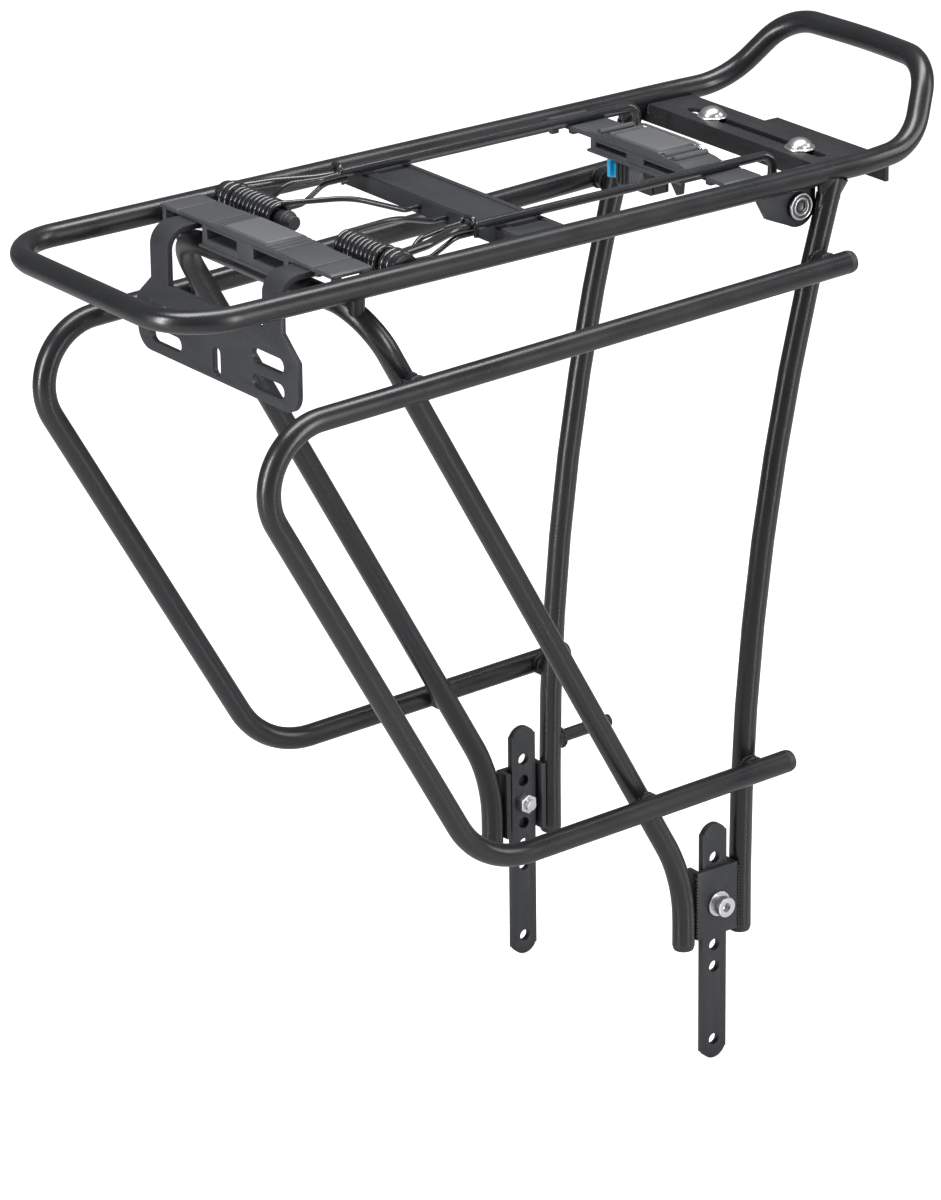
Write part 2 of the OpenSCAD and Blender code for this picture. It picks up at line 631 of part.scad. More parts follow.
// Spring arm: from the coil's outer end along the bail to a hook over it
wrap = (bail_d + spring_d) / 2 + 0.1;
hook_y = 156;
module spring_arm(x_end) color("#202124") place()
    bent([[x_end, pivot_y + 0.15, pivot_z - coil_r], [x_end - 0.4, pivot_y + 7, pivot_z - coil_r],
          [bail_x + 0.5, pivot_y + 19, bail_z + 0.5], [bail_x - wrap, pivot_y + 34, bail_z + 0.5],
          [bail_x - wrap, hook_y, bail_z + 0.5], [bail_x - wrap + 0.5, hook_y + 1, bail_z + wrap],
          [bail_x + wrap + 0.2, hook_y + 1.5, bail_z + wrap], [bail_x + wrap + 0.2, hook_y + 2, bail_z - 3]],
         [6, 10, 12, 1.5, 1.5, 2], spring_d - 0.1);
module spring_arm_left() spring_arm(coil_x_left + coil_travel);
module spring_arm_right() mirror([1, 0, 0]) spring_arm(coil_x_right + coil_travel);

// Stay under each bail wire, with a small block on its front end
stay_d = 2.2;
stay_z = bail_z - (bail_d + stay_d) / 2;
module stay_wires() color("#202124") place() both() {
    bent([[bail_x, hook_y + 6, stay_z], [bail_x, hook_y - 6, stay_z],
          [bail_x - 1, pivot_y + 26, -3.6], [bail_x - 2, pivot_y + 14, -3.6]], [12, 8], stay_d);
    translate([bail_x - 4.5, pivot_y + 10.5, -6.2]) cube([5, 5, 4.6]);
}

// Fixed legs of the springs, held by the middle cross plate's front flange
module anchor_wire(x0, mid, x_end, z_end) color("#202124") place()
    bent([[x0, pivot_y + 0.5, pivot_z + coil_r], mid, [x_end, centre_plate_y - 8, z_end], [x_end, centre_plate_y, z_end]],
         [40, 8], spring_d - 0.2);
module anchor_wire_left() anchor_wire(coil_x_left, [21, 138, pivot_z + coil_r], 12.3, -1.5);
module anchor_wire_right() mirror([1, 0, 0]) anchor_wire(coil_x_right, [13, 140, pivot_z + coil_r], 6.7, -1.5);

platform_frame();
front_leg_hoop();
rear_leg_left();
rear_leg_right();
pannier_loop_left();
pannier_loop_right();
loop_saddles_left();
loop_saddles_right();
hoop_saddles();
tube_plugs();
strap_bracket_left();
strap_bracket_right();
foot_strap_left();
foot_strap_right();
foot_screws();
foot_washers();
foot_nuts();
strap_peg();
front_plate();
front_plate_screws();
front_adapter();
front_adapter_cap();
rear_adapter();
rear_adapter_cap();
latch_housing();
release_button();
button_spring();
centre_plate();
rear_plate();
dome_screws();
dome_nuts();
light_bracket();
side_tab();
side_tab_screw();
pivot_lugs();
pivot_rod_left();
pivot_rod_right();
rod_caps();
clamp_bail();
spring_left();
spring_right();
anchor_wire_left();
anchor_wire_right();
spring_arm_left();
spring_arm_right();
stay_wires();
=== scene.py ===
import json
import math

import bmesh
import bpy
from mathutils import Matrix, Vector

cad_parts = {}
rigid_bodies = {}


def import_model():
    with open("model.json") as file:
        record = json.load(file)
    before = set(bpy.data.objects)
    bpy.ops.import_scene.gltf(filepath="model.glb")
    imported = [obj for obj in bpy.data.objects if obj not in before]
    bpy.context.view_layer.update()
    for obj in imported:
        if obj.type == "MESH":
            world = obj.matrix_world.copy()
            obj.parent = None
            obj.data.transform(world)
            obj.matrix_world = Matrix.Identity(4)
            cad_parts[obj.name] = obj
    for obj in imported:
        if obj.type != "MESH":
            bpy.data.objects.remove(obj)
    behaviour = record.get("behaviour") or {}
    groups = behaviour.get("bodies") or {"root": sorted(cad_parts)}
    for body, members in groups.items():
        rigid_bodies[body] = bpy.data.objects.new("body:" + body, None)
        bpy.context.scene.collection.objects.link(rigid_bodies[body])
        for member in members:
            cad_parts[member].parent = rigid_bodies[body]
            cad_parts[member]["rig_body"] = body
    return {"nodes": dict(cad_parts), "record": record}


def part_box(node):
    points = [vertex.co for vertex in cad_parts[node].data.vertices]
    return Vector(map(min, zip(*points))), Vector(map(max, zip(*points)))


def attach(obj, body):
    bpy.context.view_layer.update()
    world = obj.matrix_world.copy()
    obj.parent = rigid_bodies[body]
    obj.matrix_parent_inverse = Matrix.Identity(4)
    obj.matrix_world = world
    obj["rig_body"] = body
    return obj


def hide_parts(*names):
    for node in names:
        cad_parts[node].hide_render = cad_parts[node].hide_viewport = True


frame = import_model()
scene = bpy.context.scene
nodes = frame["nodes"]
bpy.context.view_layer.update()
print("frame loaded:", len(nodes), "nodes")

# Places are in millimetres, behind the front bar (y) and above the rails' axis (z).
# The clamp's pivot rod, found in the frame, ties them to the CAD.
rod = {"y": 112, "z": 1}
rodLow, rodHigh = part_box("pivot_rod_left")
pivot = (rodLow + rodHigh) / 2
barY = pivot.y - rod["y"] / 1000
railZ = pivot.z - rod["z"] / 1000
sides = (-1, 1)  # right, then left
upwards = Vector((0, 0, 1))
acrossX = Matrix.Rotation(math.pi / 2, 4, "X")  # sets a shape made about z on edge


def at(x, y, z):
    return Vector((x / 1000, barY + y / 1000, railZ + z / 1000))


# Materials: two node groups, placed in every finish with its own values
def link(tree, a, b):
    tree.links.new(a, b)


def addNode(tree, kind, values):
    node = tree.nodes.new(kind)
    for socket, value in values.items():
        node.inputs[socket].default_value = value
    return node


def makeGroup(name, inputs, outputs):
    group = bpy.data.node_groups.new(name, "ShaderNodeTree")
    for label, kind, value in inputs:
        socket = group.interface.new_socket(label, in_out="INPUT", socket_type=kind)
        socket.default_value = value
    for label, kind in outputs:
        group.interface.new_socket(label, in_out="OUTPUT", socket_type=kind)
    return group, group.nodes.new("NodeGroupInput"), group.nodes.new("NodeGroupOutput")


grainPattern = {
    "fine": {"Detail": 3.0},
    "wide": {"Scale": 38.0, "Detail": 4.0},
    "spread": {"From Min": 0.35, "From Max": 0.65},
    "bump": {"Distance": 0.0002},
}


def buildCoatGrain():  # orange-peel bump and a roughness that wanders a little
    group, given, out = makeGroup(
        "coatGrain",
        [("Scale", "NodeSocketFloat", 900.0), ("Bump", "NodeSocketFloat", 0.1),
         ("Rough Low", "NodeSocketFloat", 0.3), ("Rough High", "NodeSocketFloat", 0.45)],
        [("Roughness", "NodeSocketFloat"), ("Normal", "NodeSocketVector")])
    coord = group.nodes.new("ShaderNodeTexCoord")
    fine = addNode(group, "ShaderNodeTexNoise", grainPattern["fine"])
    wide = addNode(group, "ShaderNodeTexNoise", grainPattern["wide"])
    remap = addNode(group, "ShaderNodeMapRange", grainPattern["spread"])
    bump = addNode(group, "ShaderNodeBump", grainPattern["bump"])
    link(group, coord.outputs["Object"], fine.inputs["Vector"])
    link(group, coord.outputs["Object"], wide.inputs["Vector"])
    link(group, given.outputs["Scale"], fine.inputs["Scale"])
    link(group, fine.outputs["Fac"], bump.inputs["Height"])
    link(group, given.outputs["Bump"], bump.inputs["Strength"])
    link(group, wide.outputs["Fac"], remap.inputs["Value"])
    link(group, given.outputs["Rough Low"], remap.inputs["To Min"])
    link(group, given.outputs["Rough High"], remap.inputs["To Max"])
    link(group, remap.outputs["Result"], out.inputs["Roughness"])
    link(group, bump.outputs["Normal"], out.inputs["Normal"])
    return group


dustPattern = {
    "wide": {"Scale": 22.0, "Detail": 5.0},
    "speck": {"Scale": 1300.0, "Detail": 1.0},
    "sharpen": {"From Min": 0.66, "From Max": 0.78},
}
mixSocket = {"factor": 0, "a": 6, "b": 7, "out": 2}  # the colour sockets of a Mix node


def buildToneDrift():  # slow change between two close tones, with specks of dust
    group, given, out = makeGroup(
        "toneDrift",
        [("Tone A", "NodeSocketColor", (0.1, 0.1, 0.1, 1)),
         ("Tone B", "NodeSocketColor", (0.12, 0.12, 0.12, 1)),
         ("Dust", "NodeSocketColor", (0.5, 0.5, 0.5, 1)), ("Dust Amount", "NodeSocketFloat", 0.1)],
        [("Color", "NodeSocketColor")])
    coord = group.nodes.new("ShaderNodeTexCoord")
    wide = addNode(group, "ShaderNodeTexNoise", dustPattern["wide"])
    speck = addNode(group, "ShaderNodeTexNoise", dustPattern["speck"])
    sharp = addNode(group, "ShaderNodeMapRange", dustPattern["sharpen"])
    amount = group.nodes.new("ShaderNodeMath")
    amount.operation = "MULTIPLY"
    tones = group.nodes.new("ShaderNodeMix")
    tones.data_type = "RGBA"
    dust = group.nodes.new("ShaderNodeMix")
    dust.data_type = "RGBA"
    link(group, coord.outputs["Object"], wide.inputs["Vector"])
    link(group, coord.outputs["Object"], speck.inputs["Vector"])
    link(group, wide.outputs["Fac"], tones.inputs[mixSocket["factor"]])
    link(group, given.outputs["Tone A"], tones.inputs[mixSocket["a"]])
    link(group, given.outputs["Tone B"], tones.inputs[mixSocket["b"]])
    link(group, speck.outputs["Fac"], sharp.inputs["Value"])
    link(group, sharp.outputs["Result"], amount.inputs[0])
    link(group, given.outputs["Dust Amount"], amount.inputs[1])
    link(group, amount.outputs["Value"], dust.inputs[mixSocket["factor"]])
    link(group, tones.outputs[mixSocket["out"]], dust.inputs[mixSocket["a"]])
    link(group, given.outputs["Dust"], dust.inputs[mixSocket["b"]])
    link(group, dust.outputs[mixSocket["out"]], out.inputs["Color"])
    return group


coatGrain = buildCoatGrain()
toneDrift = buildToneDrift()

finishes = {  # two tones, dust, lowest and highest roughness, grain size and depth
    "blackCoat": dict(slot="black_tube", a=(0.0070, 0.0074, 0.0085), b=(0.0125, 0.0131, 0.0148), dust=0.04,
                      low=0.25, high=0.34, scale=900.0, bump=0.10),
    "blackSheet": dict(slot="black_sheet", a=(0.0155, 0.0166, 0.0195), b=(0.0235, 0.0250, 0.0290), dust=0.05,
                       low=0.40, high=0.52, scale=800.0, bump=0.12),
    "castBlack": dict(slot="black_sheet", a=(0.007, 0.0074, 0.0085), b=(0.013, 0.0138, 0.0155), dust=0.10,
                      low=0.46, high=0.58, scale=620.0, bump=0.30),
    "blackWire": dict(slot="black_wire", a=(0.012, 0.0125, 0.014), b=(0.022, 0.023, 0.025), dust=0.03,
                      low=0.20, high=0.28, scale=420.0, bump=0.08, metallic=0.2, coat=0.4),
    "darkPlastic": dict(slot="dark_plastic", a=(0.036, 0.038, 0.042), b=(0.048, 0.050, 0.055), dust=0.07,
                        low=0.44, high=0.56, scale=1500.0, bump=0.16),
    "topPlastic": dict(slot="grey_plastic", a=(0.074, 0.076, 0.080), b=(0.092, 0.094, 0.099), dust=0.05,
                       low=0.42, high=0.52, scale=1500.0, bump=0.12),
    "plugPlastic": dict(slot="cap_plastic", a=(0.014, 0.0145, 0.016), b=(0.022, 0.023, 0.025), dust=0.05,
                        low=0.42, high=0.54, scale=1200.0, bump=0.10),
    "bluePlastic": dict(slot="blue_plastic", a=(0.010, 0.330, 0.640), b=(0.014, 0.390, 0.700), dust=0.02,
                        low=0.22, high=0.30, scale=1500.0, bump=0.05, coat=0.4),
    "brightZinc": dict(slot="zinc", a=(0.620, 0.625, 0.635), b=(0.730, 0.735, 0.740), dust=0.03,
                       low=0.28, high=0.36, scale=600.0, bump=0.05, metallic=1.0),
    "dullZinc": dict(slot="zinc", a=(0.095, 0.098, 0.102), b=(0.150, 0.153, 0.158), dust=0.05,
                     low=0.28, high=0.42, scale=600.0, bump=0.10, metallic=1.0),
}


clearCoatRoughness = 0.2


def makeFinish(name, f):
    material = bpy.data.materials.new(name)
    material.use_nodes = True
    tree = material.node_tree
    shader = tree.nodes["Principled BSDF"]
    grain = tree.nodes.new("ShaderNodeGroup")
    grain.node_tree = coatGrain
    grain.inputs["Scale"].default_value = f["scale"]
    grain.inputs["Bump"].default_value = f["bump"]
    grain.inputs["Rough Low"].default_value = f["low"]
    grain.inputs["Rough High"].default_value = f["high"]
    tone = tree.nodes.new("ShaderNodeGroup")
    tone.node_tree = toneDrift
    tone.inputs["Tone A"].default_value = (*f["a"], 1)
    tone.inputs["Tone B"].default_value = (*f["b"], 1)
    tone.inputs["Dust Amount"].default_value = f["dust"]
    link(tree, tone.outputs["Color"], shader.inputs["Base Color"])
    link(tree, grain.outputs["Roughness"], shader.inputs["Roughness"])
    link(tree, grain.outputs["Normal"], shader.inputs["Normal"])
    shader.inputs["Metallic"].default_value = f.get("metallic", 0.0)
    shader.inputs["Coat Weight"].default_value = f.get("coat", 0.0)
    shader.inputs["Coat Roughness"].default_value = clearCoatRoughness
    return material


finish = {name: makeFinish(name, f) for name, f in finishes.items()}
# Nodes whose slot has two looks; every other node takes its slot's first one
nodeFinish = {"rear_plate": "castBlack", "light_bracket": "castBlack", "side_tab_screw": "dullZinc"}
for part in frame["record"]["subparts"]:
    bySlot = next(name for name, f in finishes.items() if f["slot"] == part["material_slot"])
    cad = nodes[part["node"]]
    cad.data.materials.clear()
    cad.data.materials.append(finish[nodeFinish.get(part["node"], bySlot)])
print("materials ready")


# Pieces: each is a mesh in place, with its finish, body and replaced CAD nodes
def addPiece(name, bm, finishName, body, replaced=(), smoothAngle=35):
    bmesh.ops.remove_doubles(bm, verts=bm.verts, dist=1e-6)
    bmesh.ops.recalc_face_normals(bm, faces=bm.faces)
    mesh = bpy.data.meshes.new(name)
    bm.to_mesh(mesh)
    bm.free()
    mesh.materials.append(finish[finishName])
    mesh.shade_smooth()
    mesh.set_sharp_from_angle(angle=math.radians(smoothAngle))
    piece = bpy.data.objects.new(name, mesh)
    scene.collection.objects.link(piece)
    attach(piece, body)
    if replaced:
        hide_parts(*replaced)


def edgesOf(verts):  # each edge once, always in the same order
    return list(dict.fromkeys(e for v in verts for e in v.link_edges))


def block(bm, x0, x1, y0, y1, z0, z1, radius=0.5, segments=3):  # its edges are rounded
    low, high = at(x0, y0, z0), at(x1, y1, z1)
    size = high - low
    made = bmesh.ops.create_cube(bm, size=1.0)
    for v in made["verts"]:
        v.co = Vector((low[i] + (v.co[i] + 0.5) * size[i] for i in range(3)))
    bmesh.ops.bevel(bm, geom=edgesOf(made["verts"]), offset=min(radius / 1000, min(size) * 0.45),
                    segments=segments, affect="EDGES", profile=0.5, material=-1)


def ring(bm, centre, radius, wire):  # a round wire bent into a ring across x
    place = Matrix.Translation(centre + upwards * (radius / 1000)) @ acrossX
    section = bmesh.ops.create_circle(bm, radius=wire / 1000, segments=12, matrix=place)["verts"]
    bmesh.ops.spin(bm, geom=section + edgesOf(section), cent=centre, axis=(1, 0, 0), angle=2 * math.pi,
                   steps=48, use_merge=True, use_duplicate=False)


# Tubes and wires: a round section along straights and bends, in millimetres
bendSteps = {"degrees": 2.5, "least": 4}
sectionSides = {"tube": 8, "bail": 6, "wire": 5}


def centreLine(points, radii, closed):
    corners = [Vector(p) for p in points]
    inner = range(len(corners)) if closed else range(1, len(corners) - 1)
    line = [] if closed else [corners[0]]
    for i, radius in zip(inner, radii):
        u = (corners[i] - corners[i - 1]).normalized()
        w = (corners[(i + 1) % len(corners)] - corners[i]).normalized()
        angle = u.angle(w)
        inside = (w - u * w.dot(u)).normalized()
        centre = corners[i] - u * radius * math.tan(angle / 2) + inside * radius
        steps = max(bendSteps["least"], math.ceil(math.degrees(angle) / bendSteps["degrees"]))
        line += [centre + (u * math.sin(angle * j / steps) - inside * math.cos(angle * j / steps)) * radius
                 for j in range(steps + 1)]
    return line if closed else line + [corners[-1]]


def sweep(bm, points, radii, diameter, closed, section):
    curve = bpy.data.curves.new("path", "CURVE")
    curve.dimensions = "3D"
    curve.bevel_depth = diameter / 2000
    curve.bevel_resolution = sectionSides[section]
    curve.use_fill_caps = not closed
    line = centreLine(points, radii, closed)
    spline = curve.splines.new("POLY")
    spline.points.add(len(line) - 1)
    for point, place in zip(spline.points, line):
        point.co = (*at(*place), 1)
    spline.use_cyclic_u = closed
    holder = bpy.data.objects.new("path", curve)
    mesh = bpy.data.meshes.new_from_object(holder)
    bm.from_mesh(mesh)
    bpy.data.objects.remove(holder)
    bpy.data.meshes.remove(mesh)
    bpy.data.curves.remove(curve)


def flip(points):
    return [(-x, y, z) for x, y, z in points]


railSide = [(67, 0, 0), (67, 352, 0), (63.4, 382.2, 1), (46, 404.8, 30.5)]
hoopLeg = [(69.5, 252, -336), (69.5, 252, -305.5), (69.5, 88, -11)]
rearLeg = [(68.5, 333.4, -2), (68.5, 284.5, -157), (68.5, 284.5, -336)]
loopPoints = [(82.5, 329, -36), (82.5, 11, -46.5), (80.2, 135, -264), (80.2, 299.5, -259.5)]
bailSide = [(57.6, 114, 5.8), (54.5, 130, 5.8), (46.5, 148, 5.8), (46.5, 318, 5.8), (46.5, 318, -8)]
anchorLeft = [(23.5, 112.5, 7), (21, 138, 7), (12.3, 163, -1.5), (12.3, 171, -1.5)]
anchorRight = [(-24.8, 112.5, 7), (-13, 140, 7), (-6.7, 163, -1.5), (-6.7, 171, -1.5)]
stayPoints = [(46.5, 162, 2.7), (46.5, 150, 2.7), (45.5, 138, -3.6), (44.5, 126, -3.6)]


def armPoints(x):  # from the coil's outer end, along the bail, over it and round
    return [(x, 112.15, -5), (x - 0.4, 119, -5), (47, 131, 6.3), (43.1, 146, 6.3), (43, 155, 6.6),
            (43.4, 157, 9.8), (49.9, 157.6, 9.8), (50.3, 158, 2.2)]


armRadii = (6, 10, 12, 2, 2.2, 2.2)
tubeStock = dict(diameter=10, closed=False, section="tube", finish="blackCoat", body="frame")
wireStock = dict(tubeStock, diameter=2.5, section="wire", finish="blackWire")
swept = {  # corner points, bend radii and the CAD node that each stands for
    "platform_tube": dict(tubeStock, points=railSide + [(0, 410, 29.5)] + flip(railSide[::-1]), closed=True,
                          radii=(27, 120, 32, 26, 150, 26, 32, 120, 27), node="platform_frame"),
    "hoop_tube": dict(tubeStock, points=hoopLeg + flip(hoopLeg[::-1]), radii=(80, 22, 22, 80),
                      node="front_leg_hoop"),
    "leg_tube_left": dict(tubeStock, points=rearLeg, radii=(1000,), node="rear_leg_left"),
    "leg_tube_right": dict(tubeStock, points=flip(rearLeg), radii=(1000,), node="rear_leg_right"),
    "loop_tube_left": dict(tubeStock, points=loopPoints, radii=(27, 42), node="pannier_loop_left"),
    "loop_tube_right": dict(tubeStock, points=flip(loopPoints), radii=(27, 42), node="pannier_loop_right"),
    "anchor_left_wire": dict(wireStock, points=anchorLeft, radii=(40, 8), diameter=2.4,
                             node="anchor_wire_left"),
    "anchor_right_wire": dict(wireStock, points=anchorRight, radii=(40, 8), diameter=2.4,
                              node="anchor_wire_right"),
    "arm_left_wire": dict(wireStock, points=armPoints(51.05), radii=armRadii, body="clamp",
                          node="spring_arm_left"),
    "arm_right_wire": dict(wireStock, points=flip(armPoints(52.35)), radii=armRadii, body="clamp",
                           node="spring_arm_right"),
}
for name, t in swept.items():
    bm = bmesh.new()
    sweep(bm, t["points"], t["radii"], t["diameter"], t["closed"], t["section"])
    addPiece(name, bm, t["finish"], t["body"], [t["node"]], smoothAngle=50)

bail = {"wire": 4, "radii": (20, 26, 6, 6, 6, 6, 26, 20),
        "eyes": (55.6, 59.4), "eyeRadius": 5.7, "eyeWire": 1.9}
bm = bmesh.new()
sweep(bm, bailSide + flip(bailSide[::-1]), bail["radii"], bail["wire"], False, "bail")
for side in sides:  # the wire is wound round the rod
    for x in bail["eyes"]:
        ring(bm, at(side * x, rod["y"], rod["z"]), bail["eyeRadius"], bail["eyeWire"])
addPiece("bail_wire", bm, "blackWire", "clamp", ["clamp_bail"], smoothAngle=50)

stays = {"wire": 2.2, "radii": (12, 8),
         "footHalf": 2.5, "footY": (122.5, 127.5), "footZ": (-6.2, -1.6), "footEdge": 0.8}
bm = bmesh.new()
for points in (stayPoints, flip(stayPoints)):
    sweep(bm, points, stays["radii"], stays["wire"], False, "wire")
    x = points[-1][0]
    block(bm, x - stays["footHalf"], x + stays["footHalf"], *stays["footY"], *stays["footZ"],
          stays["footEdge"])
addPiece("stay_wires_shown", bm, "blackWire", "clamp", ["stay_wires"], smoothAngle=50)
print("tubes swept")


# Pressed, moulded and turned parts: the CAD shape with its edges rounded
softEdges = {  # the radius in millimetres
    "front_plate": 0.5, "centre_plate": 0.55, "rear_plate": 0.5, "light_bracket": 0.45, "side_tab": 0.5,
    "strap_bracket_left": 0.6, "strap_bracket_right": 0.6, "foot_strap_left": 0.45, "foot_strap_right": 0.45,
    "foot_washers": 0.25, "foot_nuts": 0.3, "dome_nuts": 0.3, "foot_screws": 0.35, "side_tab_screw": 0.35,
    "pivot_lugs": 0.35, "pivot_rod_left": 0.8, "pivot_rod_right": 0.6, "rod_caps": 0.8,
    "front_plate_screws": 0.3,
}
edgeAngles = {"flat": math.radians(1.5), "sharp": math.radians(40)}  # faces merged below, edges rounded above


def soften(name, radius):
    cad = nodes[name]
    bm = bmesh.new()
    bm.from_mesh(cad.data)
    bmesh.ops.remove_doubles(bm, verts=bm.verts, dist=2e-6)
    bmesh.ops.dissolve_limit(bm, angle_limit=edgeAngles["flat"], verts=bm.verts, edges=bm.edges)
    sharp = [e for e in bm.edges if e.is_manifold and e.calc_face_angle(0) > edgeAngles["sharp"]]
    bmesh.ops.bevel(bm, geom=sharp, offset=radius / 1000, segments=3, affect="EDGES", profile=0.5,
                    material=-1, clamp_overlap=True)
    addPiece(name + "_shown", bm, cad.data.materials[0].name, cad["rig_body"], [name], smoothAngle=30)


for name, radius in softEdges.items():
    soften(name, radius)
print("edges rounded")


# Springs: a round wire spun and shifted into turns about the pivot
springs = {
    "left": dict(start=23.5, turns=9.5, side=1),
    "right": dict(start=24.8, turns=9.5, side=-1),
}
coilShape = {"radius": 6.0, "wire": 2.6, "pitch": 2.9, "stepsPerTurn": 32, "sides": 14}


def makeSpring(name, s):
    bm = bmesh.new()
    side, c = s["side"], coilShape
    start = at(side * s["start"], rod["y"], rod["z"]) + upwards * (c["radius"] / 1000)
    section = bmesh.ops.create_circle(bm, radius=c["wire"] / 2000, segments=c["sides"],
                                      matrix=Matrix.Translation(start) @ acrossX)["verts"]
    bmesh.ops.spin(bm, geom=section + edgesOf(section), cent=at(0, rod["y"], rod["z"]), axis=(1, 0, 0),
                   dvec=(side * c["pitch"] / 1000 / c["stepsPerTurn"], 0, 0),
                   angle=2 * math.pi * s["turns"], steps=round(s["turns"] * c["stepsPerTurn"]),
                   use_merge=False, use_duplicate=False)
    bmesh.ops.holes_fill(bm, edges=bm.edges, sides=0)
    addPiece("spring_wire_" + name, bm, "blackWire", "clamp", ["spring_" + name], smoothAngle=40)


for name, s in springs.items():
    makeSpring(name, s)
print("springs wound")


# Adapters: an extruded top with steps and grooves, over a box with two windows
adapters = {
    "front": dict(y=77, depth=20, wing=5.6, low=-6, top=7.3, sill=4.0, lip=False),
    "rear": dict(y=280, depth=20, wing=3.6, low=-4.5, top=6.9, sill=2.6, lip=True),
}
wingShape = {
    "end": 61.7, "box": 31.0, "cap": 15.2, "foot": 33.5, "middle": 6,
    "grooves": (17.2, 20.4, 23.6), "groove": 0.5, "grooveDepth": 0.7, "rollRadius": 0.0016,
    "prong": (59.1, 61.8), "boxWall": (27.5, 31.0), "window": (5, 28.5), "rib": (45.6, 49),
}


def outlineBar(bm, outline, y0, y1, radius, segments=2):  # an outline of x and z, drawn out along y
    face = bm.faces.new([bm.verts.new(at(x, y0, z)) for x, z in outline])
    made = bmesh.ops.extrude_face_region(bm, geom=[face])
    far = [g for g in made["geom"] if isinstance(g, bmesh.types.BMVert)]
    bmesh.ops.translate(bm, verts=far, vec=(0, (y1 - y0) / 1000, 0))
    bmesh.ops.bevel(bm, geom=edgesOf([*face.verts, *far]), offset=radius / 1000, segments=segments,
                    affect="EDGES", profile=0.5, material=-1, clamp_overlap=True)


def adapterOutline(wing, rise):  # the upper side from the end of one wing to the end of the other
    w = wingShape
    half = [(w["end"], wing - 2), (w["end"], wing - 0.6), (w["end"] - 1.6, wing - 0.1), (49.2, wing - 0.1),
            (48.8, wing - 0.9), (48.2, wing - 0.9), (47.8, wing), (w["foot"] + 1, wing),
            (w["foot"] - 3, wing + rise * 0.35)]
    for i, x in enumerate(reversed(w["grooves"])):
        z = wing + rise * (0.55 + 0.15 * i)
        low = z - w["grooveDepth"]
        half += [(x + w["groove"], z), (x + w["groove"] * 0.7, low), (x - w["groove"] * 0.7, low),
                 (x - w["groove"], z)]
    half += [(w["cap"] + 0.6, wing + rise)]
    return half + [(-x, z) for x, z in reversed(half)]


def makeAdapter(name, a):
    w = wingShape
    y0, y1, wing, top, low = a["y"], a["y"] + a["depth"], a["wing"], a["top"], a["low"]
    rise = top - 0.7 - wing
    bm = bmesh.new()
    outlineBar(bm, adapterOutline(wing, rise), y0, y1, 0.22)
    for side in sides:
        prong, boxWall, window, rib = (sorted(side * x for x in w[key])
                                       for key in ("prong", "boxWall", "window", "rib"))
        block(bm, *prong, y0 + 1, y0 + 5, -4, wing - 1, 0.5)  # two prongs that grip the rail
        block(bm, *prong, y1 - 5, y1 - 1, -4, wing - 1, 0.5)
        block(bm, *boxWall, y0, y1, low, wing - 1.2, 0.7)
        block(bm, *window, y0, y1, low, low + a["sill"], 0.6)  # below and above the window
        block(bm, *window, y0, y1, wing - 3.2, wing - 1, 0.6)
        block(bm, *window, y0 + 9, y1, low + 0.5, wing - 1, 0.4)  # its back
        block(bm, *rib, y0 + 2, y1 - 2, wing - 4.6, wing - 1.4, 0.5)
    block(bm, -w["middle"], w["middle"], y0, y1, low, wing - 1, 0.7)
    # a strip along the front of the box
    block(bm, -w["box"] - 1.5, w["box"] + 1.5, y0 - 0.7, y0 + 1.2, low - 0.2, low + 1.1, 0.45)
    addPiece(name + "_adapter_body", bm, "darkPlastic", "frame", [name + "_adapter"])
    cap = bmesh.new()
    block(cap, -w["cap"], w["cap"], y0 + 1, y1 - 1, top - 2.6, top, 0.7, 4)
    addPiece(name + "_adapter_top", cap, "topPlastic", "frame", [name + "_adapter_cap"])
    if a["lip"]:
        # a thin raised lip along the rear edge; its bright zinc colour is a painted highlight line along the
        # real lip
        strip = bmesh.new()
        curve = [(-24, wing + 0.9), (-20, top + 0.3), (-17, top + 0.8), (17, top + 0.8), (21, top + 0.3),
                 (24.5, wing + 1.8), (26.5, wing + 0.3)]
        outlineBar(strip, curve + [(x, z - 1.1) for x, z in reversed(curve)], y1 - 1.0, y1 - 0.1, 0.15)
        addPiece(name + "_adapter_lip_painted_highlight", strip, "brightZinc", "frame")
        roll = bmesh.new()
        for side in sides:
            for x in (w["grooves"][0] + 1.6, w["grooves"][2] + 1.8):
                place = Matrix.Translation(at(side * x, (y0 + y1) / 2, wing + rise * 0.55)) @ acrossX
                bmesh.ops.create_cone(roll, cap_ends=True, segments=24, radius1=w["rollRadius"],
                                      radius2=w["rollRadius"], depth=(a["depth"] - 2) / 1000, matrix=place)
        addPiece(name + "_adapter_rolls", roll, "darkPlastic", "frame")


for name, a in adapters.items():
    makeAdapter(name, a)
print("adapters moulded")


# Dome screws: half an outline of radius and height, turned about the screw's axis
domeScrew = {"x": 30, "y": 347, "z": -1.3, "radius": 5.6, "height": 3.6, "seat": 1.0,
             "shank": 2.5, "tip": -9.6}


def turned(bm, centre, outline):
    line = [bm.verts.new(centre + Vector((r / 1000, 0, h / 1000))) for r, h in outline]
    edges = [bm.edges.new((line[i], line[i + 1])) for i in range(len(line) - 1)]
    bmesh.ops.spin(bm, geom=line + edges, cent=centre, axis=upwards, angle=2 * math.pi, steps=48,
                   use_merge=True, use_duplicate=False)


def domeOutline(d):  # the dome, its flange, and the shank with a blunt tip
    angles = [math.radians(t) for t in range(0, 84, 6)]
    dome = [(d["radius"] * math.sin(t), d["seat"] + d["height"] * (math.cos(t) - 0.12) / 0.88)
            for t in angles]
    flange = [(5.0, 0.9), (6.4, 0.9), (6.7, 0.6), (6.7, 0.1), (6.4, 0)]
    shank = [(d["shank"], 0), (d["shank"], d["tip"] + 0.3), (d["shank"] - 0.4, d["tip"]), (0, d["tip"])]
    return dome + flange + shank


